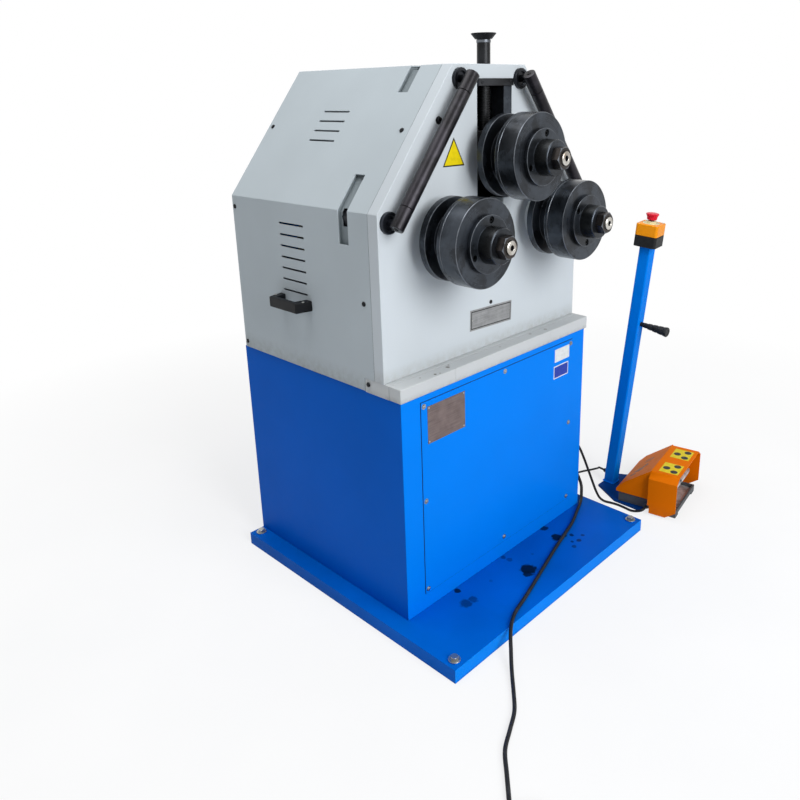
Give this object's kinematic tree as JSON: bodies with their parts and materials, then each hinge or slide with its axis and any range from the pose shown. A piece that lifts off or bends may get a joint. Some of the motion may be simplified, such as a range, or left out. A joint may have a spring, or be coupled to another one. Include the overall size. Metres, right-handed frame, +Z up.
{
  "type": "ring roller",
  "caption": "Floor-standing motor-driven ring roller: forming rolls on shafts in a two-plate head, set by a screw, on a sheet cabinet, with a stop-button post and a double foot switch.",
  "frame": {"origin": "on the floor, under the middle of the tray that the cabinet stands on", "axes": "+X to the operator's right, +Y from the operator's side to the machine's back, +Z up"},
  "size_m": [1.6012, 1.3416, 1.4885],
  "materials": {
    "blue_paint": "gloss",
    "dark_blue_paint": "satin",
    "white_paint": "satin",
    "grey_paint": "satin",
    "orange_paint": "satin",
    "black_oxide": "satin",
    "steel": "satin",
    "cast_iron": "matte",
    "cast_aluminium": "matte",
    "yellow_plastic": "satin",
    "red_plastic": "gloss",
    "black_plastic": "satin",
    "grey_plastic": "matte",
    "black_rubber": "matte"
  },
  "bodies": {
    "machine": {"base_tray": "blue_paint", "cabinet_shell": "blue_paint", "cabinet_front_panel": "blue_paint", "front_ledge": "white_paint", "sole_bar": "white_paint", "front_plate": "white_paint", "rear_plate": "grey_paint", "slot_gib": "grey_paint", "spindle_nut": "black_oxide", "tie_rod_upper_left": "black_oxide", "tie_rod_upper_right": "black_oxide", "tie_rod_lower_left": "black_oxide", "tie_rod_lower_right": "black_oxide", "guide_bar_left": "black_oxide", "guide_bar_right": "black_oxide", "head_cover": "white_paint", "cover_handle_left": "black_plastic", "cover_handle_right": "black_plastic", "gearbox": "cast_aluminium", "motor": "cast_aluminium", "control_box": "grey_paint", "gland_plate": "black_plastic", "post_foot_plate": "dark_blue_paint", "post_tube": "blue_paint", "post_grip": "black_rubber", "stop_box_base": "black_plastic", "stop_box_lid": "yellow_plastic", "foot_switch_base": "grey_plastic", "foot_switch_guard": "orange_paint", "pedal_pin": "steel", "mains_cable": "black_rubber", "mains_coil": "black_rubber", "mains_plug": "black_plastic", "pedal_cable": "black_rubber", "stop_cable": "black_rubber"},
    "slider": {"slider_block": "cast_iron"},
    "screw": {"spindle": "black_oxide", "spindle_cap": "black_plastic"},
    "upper_roll_set": {"upper_shaft": "steel", "upper_back_disc": "black_oxide", "upper_roll": "black_oxide", "upper_roll_clamp": "black_oxide", "upper_roll_nut": "black_oxide"},
    "lower_left_roll_set": {"lower_left_shaft": "steel", "lower_left_back_disc": "black_oxide", "lower_left_roll": "black_oxide", "lower_left_roll_clamp": "black_oxide", "lower_left_roll_nut": "black_oxide", "gear_left": "steel"},
    "lower_right_roll_set": {"lower_right_shaft": "steel", "lower_right_back_disc": "black_oxide", "lower_right_roll": "black_oxide", "lower_right_roll_clamp": "black_oxide", "lower_right_roll_nut": "black_oxide", "gear_right": "steel"},
    "pinion": {"drive_pinion": "steel"},
    "stop_plunger": {"stop_stem": "grey_plastic"},
    "stop_mushroom": {"stop_cap": "red_plastic"},
    "left_pedal": {"pedal_left": "steel"},
    "right_pedal": {"pedal_right": "steel"}
  },
  "joints": [
    {"name": "slider_slide", "type": "slide", "parent": "machine", "child": "slider", "axis": [0, 0, 1], "range_m": [-0.05, 0.1]},
    {"name": "screw_turn", "type": "hinge", "parent": "slider", "child": "screw", "pos_m": [0, -0.156, 1.36], "axis": [0, 0, 1], "range_deg": [-3001, 6001]},
    {"name": "upper_roll_spin", "type": "hinge", "parent": "slider", "child": "upper_roll_set", "pos_m": [0, -0.179, 1.196], "axis": [0, 1, 0], "continuous": true},
    {"name": "lower_left_spin", "type": "hinge", "parent": "machine", "child": "lower_left_roll_set", "pos_m": [-0.204, -0.179, 1.0145], "axis": [0, 1, 0], "continuous": true},
    {"name": "lower_right_spin", "type": "hinge", "parent": "machine", "child": "lower_right_roll_set", "pos_m": [0.204, -0.179, 1.0145], "axis": [0, 1, 0], "continuous": true},
    {"name": "drive_pinion_spin", "type": "hinge", "parent": "machine", "child": "pinion", "pos_m": [0, 0.142, 0.89584], "axis": [0, 1, 0], "continuous": true},
    {"name": "stop_push", "type": "slide", "parent": "machine", "child": "stop_plunger", "axis": [0, -0.1011, 0.9949], "range_m": [-0.004, 0], "stiffness_N_per_m": 1500, "springref_m": 0.003},
    {"name": "stop_twist", "type": "hinge", "parent": "stop_plunger", "child": "stop_mushroom", "pos_m": [0.642, -0.30107, 0.96591], "axis": [0, -0.1011, 0.9949], "range_deg": [-40, 0], "stiffness_Nm_per_rad": 0.05, "springref_deg": 5.73},
    {"name": "left_pedal_press", "type": "hinge", "parent": "machine", "child": "left_pedal", "pos_m": [0.65165, -0.31721, 0.072], "axis": [0.986, 0.1668, 0], "range_deg": [0, 10], "stiffness_Nm_per_rad": 3, "springref_deg": -28.65},
    {"name": "right_pedal_press", "type": "hinge", "parent": "machine", "child": "right_pedal", "pos_m": [0.65165, -0.31721, 0.072], "axis": [0.986, 0.1668, 0], "range_deg": [0, 10], "stiffness_Nm_per_rad": 3, "springref_deg": -28.65}
  ],
  "couplings": [
    {"joint": "screw_turn", "follows": "slider_slide", "rad_per_m": 1047.2},
    {"joint": "lower_right_spin", "follows": "lower_left_spin", "ratio": 1},
    {"joint": "drive_pinion_spin", "follows": "lower_left_spin", "ratio": -2.4706}
  ]
}
